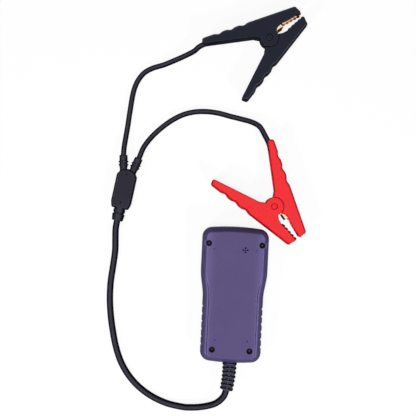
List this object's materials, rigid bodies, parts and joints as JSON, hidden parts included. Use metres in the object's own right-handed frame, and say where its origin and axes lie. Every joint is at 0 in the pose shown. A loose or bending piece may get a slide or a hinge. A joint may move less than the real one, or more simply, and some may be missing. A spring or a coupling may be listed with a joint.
{
  "type": "battery tester",
  "caption": "Hand-held battery tester lying face down, with a ribbed cord boot, a Y-lead and a black and a red spring clamp that open against torsion springs.",
  "frame": {"origin": "middle of the tester's face, where it rests on a surface", "axes": "+Y towards the display end, +Z out of the back, +X to the right seen from the back"},
  "size_m": [0.1816, 0.3786, 0.025],
  "materials": {
    "case_purple": "fine moulded texture, slightly satin",
    "dark_plastic": "dark moulded plastic",
    "smoked_lens": "smoked clear sheet",
    "key_plastic": "light grey keys with plain symbols",
    "board": "green laminate",
    "component": "component bodies",
    "ceramic": "white ceramic",
    "steel": "plated steel",
    "copper": "bright copper plate",
    "rubber": "black cord jacket",
    "red_wire": "red wire jacket",
    "black_clamp": "black moulded plastic",
    "red_clamp": "bright red moulded plastic"
  },
  "bodies": {
    "tester": {"rear_cover": "case_purple", "front_cover": "case_purple", "keypad_overlay": "dark_plastic", "splitter_base": "dark_plastic", "splitter_top": "dark_plastic", "case_screw_1": "dark_plastic", "case_screw_2": "dark_plastic", "case_screw_3": "dark_plastic", "case_screw_4": "dark_plastic", "display_lens": "smoked_lens", "lcd_panel": "smoked_lens", "main_board": "board", "lcd_frame": "component", "processor": "component", "capacitor": "component", "buzzer": "component", "switch_up": "component", "switch_down": "component", "switch_back": "component", "switch_enter": "component", "terminal_block": "component", "load_resistor_1": "ceramic", "load_resistor_2": "ceramic", "board_screw_1": "steel", "board_screw_2": "steel", "black_spring": "steel", "red_spring": "steel", "black_cord_jaw": "copper", "red_free_jaw": "copper", "black_lug": "copper", "cord_boot": "rubber", "main_cord": "rubber", "black_lead": "rubber", "red_lead": "rubber", "relief_main": "rubber", "relief_black": "rubber", "relief_red": "rubber", "core_black": "rubber", "wire_black": "rubber", "core_red": "red_wire", "wire_red": "red_wire", "black_cord_lever": "black_clamp", "black_pivot_pin": "black_clamp", "red_free_lever": "red_clamp", "red_pivot_pin": "red_clamp"},
    "black_free_side": {"black_free_lever": "black_clamp", "black_free_jaw": "copper"},
    "red_cord_side": {"red_cord_lever": "red_clamp", "red_cord_jaw": "copper", "red_lug": "copper"},
    "key_up": {"key_up": "key_plastic"},
    "key_down": {"key_down": "key_plastic"},
    "key_back": {"key_back": "key_plastic"},
    "key_enter": {"key_enter": "key_plastic"}
  },
  "joints": [
    {"name": "black_clamp_open", "type": "hinge", "parent": "tester", "child": "black_free_side", "pos_m": [0.0221, 0.2375, 0.009], "axis": [0, 0, -1], "range_deg": [0, 35], "stiffness_Nm_per_rad": 0.6, "springref_deg": -34.38, "deforming": ["black_spring"]},
    {"name": "red_clamp_open", "type": "hinge", "parent": "tester", "child": "red_cord_side", "pos_m": [0.034, 0.0828, 0.009], "axis": [0, 0, 1], "range_deg": [0, 35], "stiffness_Nm_per_rad": 0.6, "springref_deg": -34.38, "deforming": ["red_spring", "red_lead"]},
    {"name": "key_up_press", "type": "slide", "parent": "tester", "child": "key_up", "axis": [0, 0, 1], "range_m": [0, 0.0008], "stiffness_N_per_m": 1500, "springref_m": -0.0002},
    {"name": "key_down_press", "type": "slide", "parent": "tester", "child": "key_down", "axis": [0, 0, 1], "range_m": [0, 0.0008], "stiffness_N_per_m": 1500, "springref_m": -0.0002},
    {"name": "key_back_press", "type": "slide", "parent": "tester", "child": "key_back", "axis": [0, 0, 1], "range_m": [0, 0.0008], "stiffness_N_per_m": 1500, "springref_m": -0.0002},
    {"name": "key_enter_press", "type": "slide", "parent": "tester", "child": "key_enter", "axis": [0, 0, 1], "range_m": [0, 0.0008], "stiffness_N_per_m": 1500, "springref_m": -0.0002}
  ]
}
